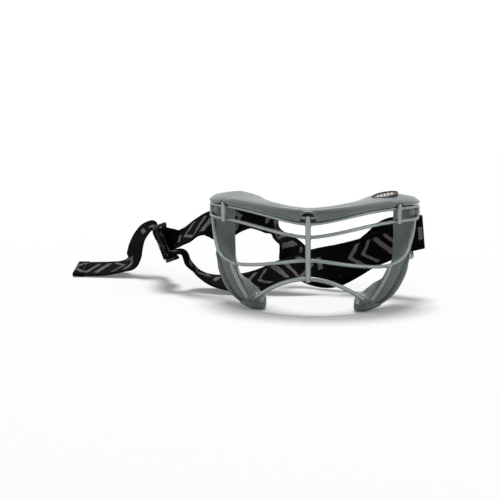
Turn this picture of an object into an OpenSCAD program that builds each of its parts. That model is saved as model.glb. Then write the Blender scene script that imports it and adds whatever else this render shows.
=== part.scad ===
// Wire lacrosse goggles with moulded padding and an adjustable elastic strap.
// Right-hand rule, millimetres: +X is the viewer's right, +Y points at the wearer, +Z is up.
// The origin is midway between the two cheek feet, on the surface they stand on.

/* [Frame outline] */
// Radius of the front of the wire frame, seen from above
frame_r = 97; // [85:1:115]
// Half width at which the front curve hands over to the temple curve
corner_x = 66; // [60:1:72]
// Radius of each temple curve, seen from above
temple_r = 42; // [38:1:50]
// Direction of the frame at its temple ends, from straight across
temple_angle = 86; // [78:1:89]
// How far the front of the frame stands ahead of the feet
front_reach = 15.5; // [12:0.5:20]

/* [Wires] */
// Thickness of the top, upper and middle wires
wire_d = 2.8; // [2.2:0.1:3.4]
// Thickness of the bottom wire
bottom_wire_d = 3.4; // [2.8:0.1:4]
// Thickness of the two cheek wires
cheek_wire_d = 3; // [2.4:0.1:3.6]
// Thickness of the upright nose bar
nose_bar_d = 4; // [3.4:0.1:4.8]
// Thickness of the two corner bars
corner_bar_d = 3.2; // [2.8:0.1:4]
// How deep one wire is welded into another
weld_sink = 0.3; // [0.2:0.05:0.5]
// Height of the top wire at the nose
top_wire_mid_z = 67.5; // [65:0.5:70]
// Height of the top wire at the corners
top_wire_side_z = 76; // [74:0.5:78]
// Height of the upper wire at the nose
upper_wire_mid_z = 57.5; // [54:0.5:60]
// Height of the upper wire at the corners
upper_wire_side_z = 66.4; // [65:0.2:68]
// Height of the middle wire at the nose
middle_wire_mid_z = 40.4; // [37:0.2:43]
// Height of the middle wire where the cheek wires leave it
middle_wire_low_z = 33.3; // [31:0.1:35]
// Height of the bottom wire at the nose
bottom_wire_mid_z = 26.4; // [24:0.2:29]
// Height of the bottom wire where it enters the foot
bottom_wire_end_z = 8.6; // [7.6:0.2:10]

/* [Brow] */
// How far the brow cover stands in front of the wires
brow_proud = 4.6; // [4.2:0.1:6]
// Gap between the top wire and the lower edge of the brow cover
brow_wire_gap = 0.5; // [0.3:0.1:1.5]
// Height of the hidden brow wire above the top wire
brow_wire_rise = 5; // [4.2:0.1:5.6]
// Thickness of the brow cover's shelf over the forehead pad
shelf_t = 2.4; // [1.8:0.1:3.2]
// Depth of the brow at the nose
brow_depth_mid = 12; // [10:0.5:15]
// Depth of the brow at its widest, above the eyes
brow_depth_side = 26; // [20:0.5:30]
// Radius of the half-round recess for the nose bar
recess_r = 6; // [4.5:0.1:7]
// How far the forehead pad hangs below the top wire
pad_drop = 0.5; // [0:0.1:2]

/* [Side pads and feet] */
// Thickness of each side pad
side_pad_t = 5.5; // [4:0.5:7]
// How far each side pad reaches in from the frame to the temple
side_pad_reach = 18; // [14:0.5:20]
// Depth of the groove along each side pad's rim
rim_groove = 1; // [0.4:0.1:1.6]
// Half distance between the two feet
foot_x = 41; // [36:0.5:46]
// Length of each foot across the face
foot_len = 20; // [17:0.5:22]
// Depth of each foot, front to back
foot_depth = 13; // [10:0.5:16]
// Height of each foot
foot_h = 9.5; // [8:0.5:12]

/* [Badge] */
// Length of the oval badge
badge_len = 21; // [16:0.5:24]
// Width of the oval badge
badge_w = 13.5; // [10:0.5:16]
// Width of the badge's raised rim
badge_rim_w = 1; // [0.6:0.1:1.6]
// Thickness of the badge plate
badge_t = 1.2; // [0.8:0.1:2]

/* [Strap] */
// Width of the elastic strap
strap_w = 25; // [22:0.5:26]
// Thickness of the elastic strap
strap_t = 1.5; // [1.2:0.1:2]
// Clear height of each strap loop on the frame
loop_clear = 33.5; // [31:0.5:34]
// Thickness of the strap loops' wire
loop_wire_d = 3; // [2.6:0.1:3.6]

/* [Slider] */
// Length of the slider along the strap
slider_len = 16; // [14:0.5:20]
// Clearance at each edge of the strap inside the slider
slider_side_gap = 0.5; // [0.3:0.1:1]
// Thickness of the slider's rails and bars
slider_bar = 2.6; // [2.2:0.1:3.2]
// Clearance between the strap and the slider's bars
slider_gap = 0.35; // [0.3:0.05:0.6]
// Distance the slider can travel along the straight run of strap
slider_travel = 12; // [6:1:14]

/* [Hidden] */

wire_grey = "#9fa6a6";
pad_grey = "#7d8785";
strap_black = "#141416";
clear = 0.3;
bar_sides = 10;

// Frame outline, seen from above: a front curve and a tighter temple curve at each side.
// A place on it is an arc length s from the nose, positive to the viewer's right.
corner_turn = asin(corner_x / frame_r);
corner_s = frame_r * corner_turn * PI / 180;
corner_y = frame_r * (1 - cos(corner_turn)) - front_reach;
frame_end_s = corner_s + temple_r * (temple_angle - corner_turn) * PI / 180;

// Turn of the frame at arc length s, in degrees from straight across.
function turn_at(s) =
    abs(s) <= corner_s ? abs(s) / frame_r * 180 / PI
    : corner_turn + (abs(s) - corner_s) / temple_r * 180 / PI;
function side_of(s) = s < 0 ? -1 : 1;
// Point at arc length s, at distance r outside the wires and at height z.
function at(s, r, z) =
    let (a = turn_at(s), far = abs(s) > corner_s,
         x = far ? corner_x + temple_r * (sin(a) - sin(corner_turn)) : frame_r * sin(a),
         y = far ? corner_y + temple_r * (cos(corner_turn) - cos(a))
                 : frame_r * (1 - cos(a)) - front_reach)
    [side_of(s) * (x + r * sin(a)), y - r * cos(a), z];
// Outward direction of the frame at arc length s.
function outward(s) = [side_of(s) * sin(turn_at(s)), -cos(turn_at(s)), 0];
// Arc length of the point that lies at distance r outside the wires and at x.
function s_of_x(x, r = 0) = frame_r * asin(x / (frame_r + r)) * PI / 180;

function unit(v) = v / norm(v);
function mix(a, b, t) = a + (b - a) * t;
function reversed(list) = [for (i = [len(list) - 1:-1:0]) list[i]];
// Smooth curve through control points, n steps to each.
function curve_at(p, i, t) =
    let (a = p[max(i - 1, 0)], b = p[i], c = p[i + 1], d = p[min(i + 2, len(p) - 1)])
    0.5 * (2 * b + (c - a) * t + (2 * a - 5 * b + 4 * c - d) * t * t
           + (3 * b - a - 3 * c + d) * t * t * t);
function smooth(p, n) = concat(
    [for (i = [0:len(p) - 2], k = [0:n - 1]) curve_at(p, i, k / n)], [p[len(p) - 1]]);

// Closed skin over rings of equal length, capped at both ends.
// Each ring runs anticlockwise when it is looked at against the direction of travel.
// The faces of one side can be split the other way, so that a twisting band keeps its thickness.
module skin(rings, split_side = -1) {
    n = len(rings[0]);
    last = (len(rings) - 1) * n;
    points = [for (ring = rings, p = ring) p];
    sides = [for (k = [0:len(rings) - 2], j = [0:n - 1], half = [0, 1])
        let (a = k * n + j, b = k * n + (j + 1) % n, c = b + n, d = a + n)
        j == split_side ? (half == 0 ? [a, d, b] : [b, d, c]) : (half == 0 ? [a, d, c] : [a, c, b])];
    first_cap = [for (j = [1:n - 2]) [0, j, j + 1]];
    last_cap = [for (j = [1:n - 2]) [last, last + j + 1, last + j]];
    polyhedron(points, concat(first_cap, sides, last_cap), convexity = 6);
}

// Round wire along a path; facing is the direction of each ring's first point.
module wire(path, facing, d, sides = bar_sides) {
    last = len(path) - 1;
    skin([for (k = [0:last])
        let (t = unit(path[min(k + 1, last)] - path[max(k - 1, 0)]),
             n = unit(facing[k] - (facing[k] * t) * t),
             b = cross(t, n))
        [for (j = [0:sides - 1]) path[k] + d / 2 * (cos(360 * j / sides) * n + sin(360 * j / sides) * b)]]);
}
// Wire that lies on the frame's outline, through points of arc length and height.
module frame_wire(points, d) {
    wire([for (p = points) at(p[0], 0, p[1])], [for (p = points) outward(p[0])], d);
}

// Heights of the wires along the frame. Each bends from its height at the nose to its height at the side.
function bend(s, span) = pow(sin(90 * min(abs(s) / span, 1)), 1.5);
top_bend_s = corner_s * 0.86;
upper_bend_s = corner_s * 0.95;
function top_z(s) = mix(top_wire_mid_z, top_wire_side_z, bend(s, top_bend_s));
function upper_z(s) = mix(upper_wire_mid_z, upper_wire_side_z, bend(s, upper_bend_s));

// Places along the frame where its parts meet.
cheek_s = corner_s - 10.5;
rear_z_drop = 1.8;
temple_bend_r = (top_wire_side_z - upper_wire_side_z) / 2;
temple_bend_s = frame_end_s - temple_bend_r;
temple_top_z = top_wire_side_z - rear_z_drop;
temple_low_z = upper_wire_side_z - rear_z_drop;

function middle_z(s) = mix(middle_wire_mid_z, middle_wire_low_z, bend(s, cheek_s));
foot_s = s_of_x(foot_x);
foot_top = foot_h - 2.3;
function bottom_z(s) = mix(bottom_wire_mid_z, bottom_wire_end_z, pow(abs(s) / foot_s, 1.9));
function temple_drop(s) = abs(s) < corner_s ? 0
    : rear_z_drop * (abs(s) - corner_s) / (temple_bend_s - corner_s);

// Brow wire: the rod that the brow cover and its pad are moulded on.
brow_wire_side_rise = 3.1;
function brow_wire_z(s) = top_z(s) + mix(brow_wire_rise, brow_wire_side_rise, bend(s, top_bend_s));
module brow_wire() {
    color(wire_grey)
    frame_wire([for (k = [-20:20]) let (s = k / 20 * (corner_s + 1)) [s, brow_wire_z(s)]], wire_d);
}

module top_wire() {
    color(wire_grey)
    frame_wire([for (k = [-24:24]) let (s = k / 24 * temple_bend_s) [s, top_z(s) - temple_drop(s)]], wire_d);
}

// Upper wire, turned up at each temple to meet the end of the top wire.
module upper_wire() {
    mid_z = (temple_top_z + temple_low_z) / 2;
    front = [for (k = [0:24]) let (s = k / 24 * temple_bend_s) [s, upper_z(s) - temple_drop(s)]];
    turn_up = [for (k = [1:8]) let (a = -90 + k * 22.5)
        [temple_bend_s + temple_bend_r * cos(a), mid_z + temple_bend_r * sin(a)]];
    half = concat(front, turn_up);
    color(wire_grey)
    frame_wire(concat([for (p = reversed(turn_up)) [-p[0], p[1]]],
        [for (k = [24:-1:1]) [-front[k][0], front[k][1]]], half), wire_d);
}

// Middle wire: across below the eyes, then up beside each side pad to the upper wire.
rise_end_s = corner_s + 20;
middle_rise = [
    [cheek_s, middle_wire_low_z], [corner_s - 1, middle_wire_low_z + 2.4],
    [corner_s + 7.5, middle_wire_low_z + 7], [corner_s + 13, middle_wire_low_z + 14.5],
    [corner_s + 17.5, middle_wire_low_z + 23], [rise_end_s, temple_low_z + 0.6]
];
module middle_wire() {
    across = [for (k = [0:14]) let (s = k / 14 * cheek_s) [s, middle_z(s)]];
    rise = smooth(middle_rise, 4);
    half = concat(across, [for (k = [1:len(rise) - 1]) rise[k]]);
    color(wire_grey)
    frame_wire(concat([for (k = [len(half) - 1:-1:1]) [-half[k][0], half[k][1]]], half), wire_d);
}

module bottom_wire() {
    color(wire_grey)
    frame_wire([for (k = [-16:16]) let (s = k / 16 * (foot_s + 1)) [s, bottom_z(s)]], bottom_wire_d);
}

// Cheek wire: from the middle wire down to the foot, bowed outwards.
function cheek_point(t) =
    [mix(cheek_s, foot_s + 4, pow(t, 1.3)), mix(middle_wire_low_z, foot_top - 1.5, t)];
module cheek_wire() {
    r = (wire_d + cheek_wire_d) / 2 - weld_sink;
    color(wire_grey)
    wire([for (k = [0:10]) let (p = cheek_point(k / 10)) at(p[0], mix(r, 0.4, k / 10), p[1])],
         [for (k = [0:10]) outward(cheek_point(k / 10)[0])], cheek_wire_d);
}
module left_cheek_wire() { mirror([1, 0, 0]) cheek_wire(); }
module right_cheek_wire() { cheek_wire(); }

// Upright bar with rounded ends.
module upright(d, low, high) {
    translate([0, 0, low]) cylinder(d = d, h = high - low, $fn = 48);
    translate([0, 0, high]) sphere(d = d, $fn = 48);
}

// Nose bar: in front of every wire, from the bottom wire up to the brow wire.
module nose_bar() {
    low = bottom_wire_mid_z - bottom_wire_d / 2;
    high = brow_wire_z(0);
    color(wire_grey)
    translate(at(0, (wire_d + nose_bar_d) / 2 - weld_sink, 0)) upright(nose_bar_d, low, high);
}

// Corner bars: they join the brow wire, the top wire and the upper wire.
corner_bar_r = (wire_d + corner_bar_d) / 2 - weld_sink;
corner_bar_s = s_of_x(corner_x, corner_bar_r);
module corner_bar() {
    low = upper_z(corner_bar_s) - wire_d / 2;
    high = brow_wire_z(corner_bar_s) - 0.5;
    color(wire_grey)
    translate(at(corner_bar_s, corner_bar_r, 0)) upright(corner_bar_d, low, high);
}
module left_corner_bar() { mirror([1, 0, 0]) corner_bar(); }
module right_corner_bar() { corner_bar(); }

// Brow cover: one place along the brow to a row, from the nose to the temple.
// Columns: arc length, height of the front ridge, height of the back edge, depth, front overhang.
brow_end_s = frame_end_s - 1;
brow_rows = [
    [0, 79.2, 76.7, brow_depth_mid, brow_proud],
    [15, 80, 78, brow_depth_mid + 1, brow_proud],
    [30, 81.2, 80, brow_depth_mid + 3, brow_proud],
    [45, 82.4, 80.8, mix(brow_depth_mid, brow_depth_side, 0.6), brow_proud],
    [60, 83, 82.2, brow_depth_side, brow_proud],
    [72, 82.8, 84, brow_depth_side - 3, brow_proud - 1],
    [80, 82, 85, brow_depth_side - 7, brow_proud - 2],
    [90, 80.8, 84, brow_depth_mid + 2, brow_proud - 2.6],
    [98, 79.8, 82.2, brow_depth_mid - 2, brow_proud - 2.8],
    [brow_end_s, 79, 80.6, brow_depth_mid - 5, brow_proud - 3]
];
// Values of a table's row at arc length s, between its rows.
function row_at(rows, s) =
    let (i = [for (k = [0:len(rows) - 2]) if (rows[k][0] <= s) k], k = i[len(i) - 1])
    curve_at(rows, k, min((s - rows[k][0]) / (rows[k + 1][0] - rows[k][0]), 1));
function brow_at(s) = row_at(brow_rows, abs(s));

front_t = 2.4;
front_chamfer = 1.6;
crown = 0.8;
recess_h = 7.2;
notch_s = corner_bar_s;
notch_half = corner_bar_d / 2 + 0.9;
notch_slope = 2.6;

// Height of the top wire's upper side along the frame.
function wire_top(s) = top_z(s) - temple_drop(s) + wire_d / 2;

// Lower edge of the brow's front wall, with the recess at the nose and a notch for each corner bar.
function front_low(s) =
    let (a = abs(s), base = wire_top(s) + brow_wire_gap, under = brow_at(s)[1] - shelf_t - 0.2)
    a < recess_r ? min(base + recess_h * sqrt(1 - pow(a / recess_r, 2)), under)
    : abs(a - notch_s) < notch_half ? under
    : abs(a - notch_s) < notch_half + notch_slope
      ? mix(under, base, (abs(a - notch_s) - notch_half) / notch_slope)
    : base;

function brow_ring(s) =
    let (v = brow_at(s), ridge = v[1], back = v[2], b = v[3], f = v[4], low = front_low(s),
         under = ridge - shelf_t)
    [for (p = [
        [f - front_t, under], [-b, back - shelf_t], [-b - 0.8, back - shelf_t / 2], [-b, back],
        [-b * 0.66, mix(back, ridge, 0.3) + crown], [-b * 0.33, mix(back, ridge, 0.62) + crown],
        [f - front_chamfer * 1.4, ridge], [f - 0.5, ridge - front_chamfer],
        [f, mix(ridge, low, 0.55)], [f - 0.3, low + 0.3], [f - 0.8, low], [f - front_t, low]
    ]) at(s, p[0], p[1])];

recess_steps = [0, 0.3, 0.6, 0.82, 0.95, 1];
brow_places = concat(
    [for (t = recess_steps) t * recess_r], [recess_r + 0.05],
    [for (k = [1:11]) mix(recess_r, notch_s - notch_half - notch_slope, k / 11)],
    [notch_s - notch_half, notch_s + notch_half, notch_s + notch_half + notch_slope],
    [for (k = [1:9]) mix(notch_s + notch_half + notch_slope, brow_end_s, k / 9)]);

module brow_cover() {
    places = concat([for (s = reversed(brow_places)) if (s > 0) -s], brow_places);
    color(pad_grey)
    skin([for (s = places) brow_ring(s)]);
}

// Forehead pad: hangs under the brow's shelf, behind the wires.
pad_front_r = wire_d / 2 + 0.5;
pad_end_s = 98;
module forehead_pad() {
    color(pad_grey)
    skin([for (k = [-22:22])
        let (s = k / 22 * pad_end_s, v = brow_at(s), b = v[3] - 0.6, f = v[4] - front_t,
             low = top_z(s) - temple_drop(s) - pad_drop,
             front_top = mix(v[1], v[2], (f + pad_front_r) / (f + v[3])) - shelf_t - clear,
             back_top = v[2] - shelf_t - clear)
        [for (p = [
            [-b, back_top - 0.6], [-b + 1, back_top + 0.1],
            [mix(-b, -pad_front_r, 0.5), mix(back_top, front_top, 0.5)],
            [-pad_front_r - 0.8, front_top], [-pad_front_r, front_top - 0.8],
            [-pad_front_r, low + 1], [-pad_front_r - 1, low],
            [mix(-b, -pad_front_r, 0.5), low - 0.6], [-b + 1.2, low + 0.6], [-b, low + 2]
        ]) at(s, p[0], p[1])]]);
}

// Side pad: one level to a row, from the foot to the brow.
// Columns: outer edge, front edge and inner edge, each as arc length, distance outside the wires, height.
reach = side_pad_reach;
pad_top_z = 72.8;
pad_rows = [
    [[55, -0.5, 3.6], [47.5, -1.2, foot_top + clear + 0.8], [42, -reach + 6.5, 10.4]],
    [[66, 0, 9.5], [50, -2, 10.5], [46, -reach + 4.5, 12.6]],
    [[72.5, 0, 15], [53, -2, 15], [53, -reach + 4, 16]],
    [[77.5, 0, 21], [57, -2, 21.5], [60, -reach + 3, 18.5]],
    [[82, -0.2, 27], [60.5, -2, 27], [69.5, -reach + 2, 20.5]],
    [[85, -1, 32], [64.5, -2, 32], [82.5, -reach, 26]],
    [[87.5, -1.4, 37], [76, -2.2, 36.5], [91, -reach, 33]],
    [[89.7, -2.2, 43], [84, -2.4, 43], [93.5, -reach, 43]],
    [[90.5, -2.4, 52], [88.5, -2.8, 52], [95, -reach, 51]],
    [[94, -2.4, 61], [89.5, -3.3, 61], [94.5, -reach, 61]],
    [[102.3, -2.3, 65.6], [89.5, -3.3, 65.6], [94, -reach, 65.6]],
    [[100.8, 0.4, 69.6], [89.5, -3.3, 69.6], [94, -reach, 69.6]],
    [[103, -2.2, pad_top_z], [89.5, -3.3, pad_top_z], [94, -reach, pad_top_z]]
];
// Rear edges of the same levels, behind the outer and the inner edge.
rear_rows = [
    [[52, -8.5, 6.8], [44.5, -reach + 7, 9.6]],
    [[63, -9, 12], [50.5, -reach + 5, 12.3]],
    [[70, -9.5, 17.5], [58, -reach + 4.5, 16]],
    [[76, -9.5, 23], [65, -reach + 3.5, 19.5]],
    [[81, -9, 28.5], [74.5, -reach + 2.5, 22]],
    [[86.5, -7, 33.5], [87, -reach + 0.5, 27.5]],
    [[91, -4.5, 37.5], [95, -reach + 0.5, 34]],
    [[94.5, -3, 43.5], [98.5, -reach + 0.5, 43]],
    [[96, -3, 52], [100.4, -reach + 0.5, 51]],
    [[98.5, -3.5, 61], [100, -reach + 0.5, 61]],
    [[103.5, -6, 65.6], [99.4, -reach + 0.5, 65.6]],
    [[103.5, -5, 69.6], [99.4, -reach + 0.5, 69.6]],
    [[104, -6, pad_top_z], [99.4, -reach + 0.5, pad_top_z]]
];
function pad_ring(edges, rears) =
    let (o = edges[0], a = edges[1], i = edges[2],
         thick = side_pad_t / 5.5,
         o2 = mix(o, rears[0], thick), i2 = mix(i, rears[1], thick),
         groove = rim_groove * min(1, abs(o[0] - a[0]) / 12))
    [for (p = [
        mix(a, o, 0.03), mix(a, o, 0.36) + [0, 0.4, 0], mix(a, o, 0.68) + [0, 0.3, 0],
        mix(a, o, 0.78) - [0, groove, 0], mix(a, o, 0.88) + [0, 0.2, 0], o,
        o2, mix(o2, i2, 0.5), i2, i,
        mix(mix(a, i, 0.66), (o2 + i2) / 2, 0.12), mix(mix(a, i, 0.3), (o2 + i2) / 2, 0.1)
    ]) at(p[0], p[1], p[2])];
module side_pad() {
    last = len(pad_rows) - 1;
    color(pad_grey)
    skin(concat(
        [for (i = [0:last - 1], t = [0, 1 / 3, 2 / 3]) pad_ring(
            [for (j = [0:2]) curve_at([for (row = pad_rows) row[j]], i, t)],
            [for (j = [0:1]) curve_at([for (row = rear_rows) row[j]], i, t)])],
        [pad_ring(pad_rows[last], rear_rows[last])]));
}
module left_side_pad() { mirror([1, 0, 0]) side_pad(); }
module right_side_pad() { side_pad(); }

// Foot: a shoe with a flat sole that holds the ends of two wires. A groove parts its lower and upper tiers,
// and its outer end lifts and draws back under the side pad.
// Columns: place along the foot, lift of the sole, front height, back height, front and back draw-in.
foot_back_rise = 2.8;
foot_rows = [
    [0, 1.7, -1.6, -2.2, 2.4, 2.2], [0.05, 0.5, -0.4, -0.4, 0.9, 0.8], [0.14, 0, 0, 0, 0, 0],
    [0.28, 0, 0, -0.7, 0, 0], [0.42, 0, 0, -2, 0.2, 0], [0.58, 0.7, -0.1, -3.6, 1.2, 0],
    [0.76, 2, -0.3, -4.6, 3.2, 0.4], [0.9, 2.9, -0.9, -5.4, 5.4, 1.2], [1, 3.4, -2, -5.6, 7.4, 2.4]
];
foot_start_x = foot_x - 8;
foot_front_y = -9.5;
module foot_pad() {
    color(pad_grey)
    skin([for (row = smooth(foot_rows, 2))
        let (x = foot_start_x + foot_len * row[0], sole = max(row[1], 0),
             top = max(foot_top + row[2], sole + 3),
             back = max(foot_top + foot_back_rise + row[3], sole + 1.2),
             yf = foot_front_y + row[4], yb = foot_front_y + foot_depth + 1.5 - row[5],
             y_mid = mix(yf + 2.2, yb, 0.5), seam = mix(sole, top, 0.66))
        [for (p = [
            [yb, mix(sole, back, 0.2)], [yb, mix(sole, back, 0.8)], [yb - 1, back],
            [y_mid, mix(top, back, 0.55) + 0.2], [yf + 2.2, top], [yf + 0.9, mix(top, seam, 0.4)],
            [yf + 1.3, seam + 0.2], [yf + 0.2, seam - 0.4], [yf, mix(sole, top, 0.4)],
            [yf + 0.8, mix(sole, top, 0.2)], [yf + 2.4, mix(sole, top, 0.06)], [yf + 4.4, sole],
            [yb - 1, sole]
        ]) [x, p[0], p[1]]]]);
}
module left_foot_pad() { mirror([1, 0, 0]) foot_pad(); }
module right_foot_pad() { foot_pad(); }

// Strap loop: a ring of wire behind each temple, from the temple bend down to the middle wire.
loop_low_z = 34;
loop_top_z = loop_low_z + loop_clear + loop_wire_d;
loop_rear_s = frame_end_s + 12.5;
loop_inset = -4;
// Columns: arc length, distance outside the wires, height.
loop_rows = [
    [frame_end_s - 0.6, 0, loop_top_z], [loop_rear_s - 5.5, -1.8, loop_top_z],
    [loop_rear_s - 1, loop_inset + 0.8, loop_top_z - 1.2], [loop_rear_s, loop_inset, loop_top_z - 3.6],
    [loop_rear_s, loop_inset, mix(loop_low_z, loop_top_z, 0.5)], [loop_rear_s, loop_inset, loop_low_z + 5.5],
    [loop_rear_s - 1.4, loop_inset, loop_low_z + 1.6], [loop_rear_s - 5.5, loop_inset, loop_low_z],
    [loop_rear_s - 16, loop_inset, loop_low_z], [corner_s + 18, -4.2, loop_low_z + 2],
    [corner_s + 12.5, -2.6, loop_low_z + 9]
];
module strap_loop() {
    rows = smooth(loop_rows, 3);
    color(wire_grey)
    wire([for (p = rows) at(p[0], p[1], p[2])], [for (p = rows) outward(p[0])], loop_wire_d);
}
module left_strap_loop() { mirror([1, 0, 0]) strap_loop(); }
module right_strap_loop() { strap_loop(); }

// Badge: an oval plate with a raised rim, seated on the right end of the brow.
badge_place = [54.8, 18.5, 83.5];
badge_turn = 24;
badge_tilt = [8, -6, 0];
badge_rim_t = 0.5;
function oval(len, w, n = 48) =
    [for (k = [0:n - 1]) [len / 2 * cos(360 * k / n), w / 2 * sin(360 * k / n)]];
module on_badge() {
    translate(badge_place) rotate(badge_tilt) rotate([0, 0, badge_turn]) children();
}
module badge_plate() {
    color("#1d1e20")
    on_badge() linear_extrude(badge_t) polygon(oval(badge_len - 2 * badge_rim_w, badge_w - 2 * badge_rim_w));
}
module badge_rim() {
    color("#b9bcb8")
    on_badge() linear_extrude(badge_t + badge_rim_t) difference() {
        polygon(oval(badge_len, badge_w));
        polygon(oval(badge_len - 2 * badge_rim_w, badge_w - 2 * badge_rim_w));
    }
}

// Slider: its own axes are u along the strap towards the frame, w across the strap, n away from the strap.
slider_at = [-121.6, 78, 34.6];
slider_u = unit([0.3, -0.93, 0.2]);
slider_w = unit(cross(cross(slider_u, [-0.35, 0.05, 0.93]), slider_u));
slider_n = cross(slider_u, slider_w);
function on_slider(u, w = 0, n = 0) = slider_at + u * slider_u + w * slider_w + n * slider_n;
module in_slider() {
    multmatrix([
        [slider_u[0], slider_w[0], slider_n[0], slider_at[0]],
        [slider_u[1], slider_w[1], slider_n[1], slider_at[1]],
        [slider_u[2], slider_w[2], slider_n[2], slider_at[2]],
        [0, 0, 0, 1]
    ]) children();
}
centre_bar_d = slider_bar + 0.4;
end_bar_d = slider_bar - 0.4;
centre_bar_n = strap_t / 2 + 2 * strap_t + centre_bar_d / 2 - 0.75;
end_bar_n = -(strap_t / 2 + slider_gap + end_bar_d / 2);
rail_inner_w = strap_w / 2 + slider_side_gap;
rail_margin = 0.3;
rail_low_n = end_bar_n - end_bar_d / 2 - rail_margin;
rail_high_n = centre_bar_n + centre_bar_d / 2 + rail_margin;
rail_corner = 2;
module slider_bar_at(u, n, d) {
    translate([u, 0, n]) rotate([90, 0, 0])
        cylinder(d = d, h = 2 * rail_inner_w + slider_bar, center = true, $fn = 40);
}
module slider_rail() {
    half = slider_len / 2;
    rotate([90, 0, 0]) linear_extrude(slider_bar) polygon([
        [-half, rail_low_n], [half, rail_low_n], [half, 0.6], [half - rail_corner, 1.8],
        [rail_corner + 1, rail_high_n], [-rail_corner - 1, rail_high_n], [-half + rail_corner, 1.8],
        [-half, 0.6]
    ]);
}
module slider() {
    end_u = slider_len / 2 - end_bar_d / 2 - rail_margin;
    color("#1b1c1e")
    in_slider() {
        translate([0, rail_inner_w + slider_bar, 0]) slider_rail();
        translate([0, -rail_inner_w, 0]) slider_rail();
        slider_bar_at(end_u, end_bar_n, end_bar_d);
        slider_bar_at(-end_u, end_bar_n, end_bar_d);
        slider_bar_at(0, centre_bar_n, centre_bar_d);
    }
}

// Strap: one band from the slider's sewn end to the free tail. A row is a centre point, a width direction
// and, where the strap is gathered, the share of its width that is left there.
// The points are chosen by hand along the route.
leg_n = centre_bar_n + strap_t / 2 + 0.05;
stub_u = slider_len / 2 + 0.4;
leg_start_u = stub_u + 3 * clear;
function row(p, w, share = 1) = concat(p, w, share);
function turned(a) = cos(a) * slider_w + sin(a) * slider_u;
// Rows beside a strap loop are given from the middle of its rear bar.
function by_bar(side, rows) =
    let (bar = at(side * loop_rear_s, loop_inset, mix(loop_low_z, loop_top_z, 0.5)))
    [for (r = rows) [for (i = [0:len(r) - 1]) i < 3 ? bar[i] + r[i] : r[i]]];
leg_rows = [
    row(on_slider(leg_start_u, 0, leg_n), -turned(0)),
    row(on_slider(leg_start_u + 2, -0.02, leg_n + 0.2), -turned(0)),
    row(on_slider(leg_start_u + 4, -0.4, leg_n + 0.6), -turned(6), 0.95),
    row(on_slider(leg_start_u + 6.8, -1.3, leg_n + 1.1), -turned(22), 0.8),
    row(on_slider(leg_start_u + 9.6, -3, leg_n + 1.4), -turned(38), 0.62),
    row(on_slider(leg_start_u + 11.6, -5.6, leg_n + 1.3), -turned(56), 0.5),
    row(on_slider(leg_start_u + 12.6, -10, leg_n + 0.4), -turned(70), 0.43),
    [-106, 56, 30.1, 0.05, 1, 0.04, 0.42], [-102.3, 58.5, 22, 0.12, 0.99, -0.04, 0.44],
    [-98.1, 61, 16.5, 0, 1, -0.08, 0.5], [-93.3, 61, 12.7, 0.01, 1, -0.02, 0.6],
    [-81.9, 58, 8.9, 0.08, 0.99, 0.13, 0.85], [-69.9, 55, 7.8, 0.05, 0.96, 0.26, 1]
];
return_rows = concat([
    [-56.5, 54, 7.2, -0.15, 0.88, 0.43], [-43.6, 54, 9.9, -0.2, 0.84, 0.51],
    [-28.5, 55, 16.7, -0.27, 0.84, 0.48], [-4, 56, 22.2, -0.26, 0.51, 0.82],
    [19.3, 56.5, 26.8, -0.21, 0.1, 0.98], [39, 55, 32.6, -0.25, 0, 0.97]
], by_bar(1, [[-18.4, 3.2, -12, -0.33, 0, 0.94]]));
wrap_rows = by_bar(1, [
    [-8.4, -1.3, -6.2, -0.3, 0, 0.95], [-2.9, -4.1, -3.7, -0.24, 0, 0.97], [3.6, -4.1, -2, -0.16, 0, 0.99],
    [8, -1.2, -1.5, -0.1, 0, 0.99], [8, 3.4, -1.3, -0.08, 0, 0.99], [4.1, 6.2, -1.3, -0.06, 0, 1]
]);
cross_rows = concat(by_bar(1, [
    [-2.4, 7.6, -1.8, -0.1, 0, 1], [-10.4, 9.7, -3.2, -0.25, 0, 0.97]
]), [
    [55.5, 61, 46, -0.6, 0, 0.8],
    [47.5, 62.5, 38, -0.66, 0, 0.75], [34.4, 65, 27.2, -0.55, 0, 0.84], [13, 68.5, 14.6, -0.5, 0.1, 0.86]
]);
turn_rows = [
    [-3, 74, 14.6, -0.15, 0.2, 0.96], [-13.5, 78.5, 20, 0.4, 0.4, 0.8], [-21.5, 80.5, 27.5, 0.8, 0.55, 0.2],
    [-27, 79, 35, 0.35, 0.93, 0.05], [-31, 76.5, 42, -0.02, 0.98, 0.1], [-33, 72.5, 49, 0, 0.7, 0.7]
];
inner_rows = concat([
    [-35, 68.5, 55.5, 0, 0.25, 0.97], [-43, 64.5, 60, 0, 0.05, 1]
], by_bar(-1, [
    [22.4, 10.2, 10.3, 0, 0, 1], [12.9, 5, 7.9, 0, 0, 1], [5.4, -0.2, 4.2, 0, 0.04, 1]
]));
straight_low_u = -(slider_travel + 10);
run_rows = concat(by_bar(-1, [
    [-0.4, -4.8, 3, 0, 0.06, 1, 0.98], [-4.8, -5.4, 3.9, 0, 0.36, 0.93, 0.88],
    [-9.4, -3.6, 4.1, 0, 0.7, 0.71, 0.87], [-16, -0.4, 1.4, 0, 0.84, 0.54, 0.92]
]), [
    [-98, 52.5, 48, -0.1, 0.88, 0.45, 0.95],
    [-104.5, 55, 43.8, -0.12, 0.86, 0.45, 0.8], [-109.8, 58, 41, -0.15, 0.7, 0.7, 0.62],
    [-114, 62, 39.6, -0.25, 0.4, 0.87, 0.7], [-116.4, 65.6, 38.2, -0.34, 0.12, 0.92, 0.88],
    row(on_slider(10), slider_w), row(on_slider(0), slider_w), row(on_slider(-11), slider_w),
    row(on_slider(straight_low_u), slider_w)
]);
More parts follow.
